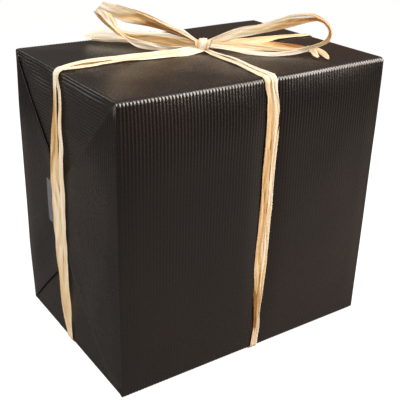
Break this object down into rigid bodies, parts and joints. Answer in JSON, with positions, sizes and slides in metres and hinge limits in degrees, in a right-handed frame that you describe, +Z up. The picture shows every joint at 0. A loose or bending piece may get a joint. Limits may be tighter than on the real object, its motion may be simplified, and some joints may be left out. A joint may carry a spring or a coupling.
{
  "type": "wrapped gift box",
  "caption": "Carton wrapped in black ribbed paper with envelope-folded ends, tied both ways with raffia and a bow.",
  "frame": {"origin": "centre of the footprint, on the surface the box stands on", "axes": "+Z up, front face towards -Y, +X to the right along the box's width"},
  "size_m": [0.2268, 0.1606, 0.2558],
  "materials": {
    "carton_board": "matt kraft board",
    "carton_tape": "glossy packing tape",
    "black_paper": "satin ribbed black kraft paper",
    "clear_tape": "clear matt tape",
    "raffia": "natural straw-coloured raffia"
  },
  "bodies": {
    "root": {"carton_front_wall": "carton_board", "carton_back_wall": "carton_board", "carton_left_wall": "carton_board", "carton_right_wall": "carton_board", "carton_glue_tab": "carton_board", "carton_bottom_end_flaps": "carton_board", "carton_bottom_long_flaps": "carton_board", "carton_top_end_flaps": "carton_board", "carton_top_long_flaps": "carton_board", "carton_bottom_tape": "carton_tape", "carton_top_tape": "carton_tape", "wrap_sleeve": "black_paper", "wrap_left_top_flap": "black_paper", "wrap_left_bottom_flap": "black_paper", "wrap_left_back_flap": "black_paper", "wrap_left_front_flap": "black_paper", "wrap_right_top_flap": "black_paper", "wrap_right_bottom_flap": "black_paper", "wrap_right_back_flap": "black_paper", "wrap_right_front_flap": "black_paper", "wrap_seam_tapes": "clear_tape", "wrap_left_tape": "clear_tape", "wrap_right_tape": "clear_tape", "raffia_long_band": "raffia", "raffia_cross_band": "raffia", "bow_knot": "raffia"},
    "left_loop": {"bow_left_loop": "raffia"},
    "right_loop": {"bow_right_loop": "raffia"},
    "left_tail": {"bow_left_tail": "raffia"},
    "right_tail": {"bow_right_tail": "raffia", "bow_right_tail_knot": "raffia", "bow_right_tail_tips": "raffia"}
  },
  "joints": [
    {"name": "left_loop_lift", "type": "hinge", "parent": "root", "child": "left_loop", "pos_m": [0.004, 0.003, 0.2251], "axis": [0.309, 0.9511, 0], "range_deg": [0, 25], "stiffness_Nm_per_rad": 0.01},
    {"name": "right_loop_lift", "type": "hinge", "parent": "root", "child": "right_loop", "pos_m": [0.004, 0.003, 0.2251], "axis": [-0.6691, -0.7431, 0], "range_deg": [0, 25], "stiffness_Nm_per_rad": 0.01},
    {"name": "left_tail_sweep", "type": "hinge", "parent": "root", "child": "left_tail", "pos_m": [0.004, 0.003, 0.2251], "axis": [0, 0, 1], "range_deg": [-25, 8]},
    {"name": "right_tail_sweep", "type": "hinge", "parent": "root", "child": "right_tail", "pos_m": [0.004, 0.003, 0.2251], "axis": [0, 0, 1], "range_deg": [0, 20]}
  ]
}
